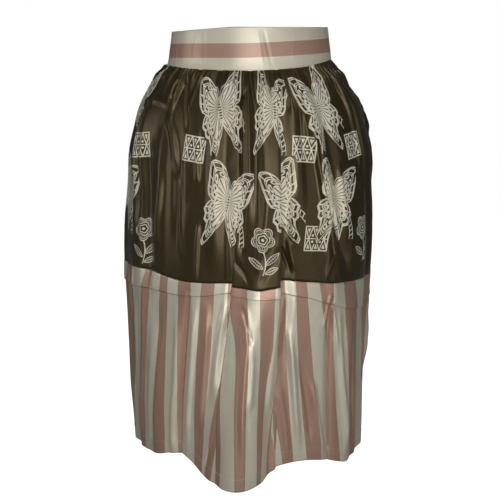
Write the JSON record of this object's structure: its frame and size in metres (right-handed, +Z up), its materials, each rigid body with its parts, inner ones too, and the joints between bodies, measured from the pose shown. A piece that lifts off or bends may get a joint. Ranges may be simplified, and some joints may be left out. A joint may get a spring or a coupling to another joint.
{
  "type": "gathered full skirt",
  "caption": "Hollow gathered knee-length skirt, filled out as when worn, with a wide waistband, a dark printed upper and a vertically striped lower band.",
  "frame": {"origin": "middle of the waist, halfway down the waistband, where the wearer holds the skirt up", "axes": "+Z up along the skirt, -Y towards its front, +X towards the wearer's left side"},
  "size_m": [0.4027, 0.3668, 0.6745],
  "materials": {
    "printed_satin": "dark olive-brown satin with a pale line print",
    "striped_satin": "satin with cream and dusty rose stripes",
    "button": "polished, cream"
  },
  "bodies": {
    "root": {"waistband": "striped_satin", "upper_front": "printed_satin", "upper_back_left": "printed_satin", "upper_back_right": "printed_satin", "tuck_front": "striped_satin", "tuck_back": "striped_satin", "lower_front": "striped_satin", "lower_back": "striped_satin", "button_top": "button", "button_bottom": "button"}
  },
  "joints": []
}
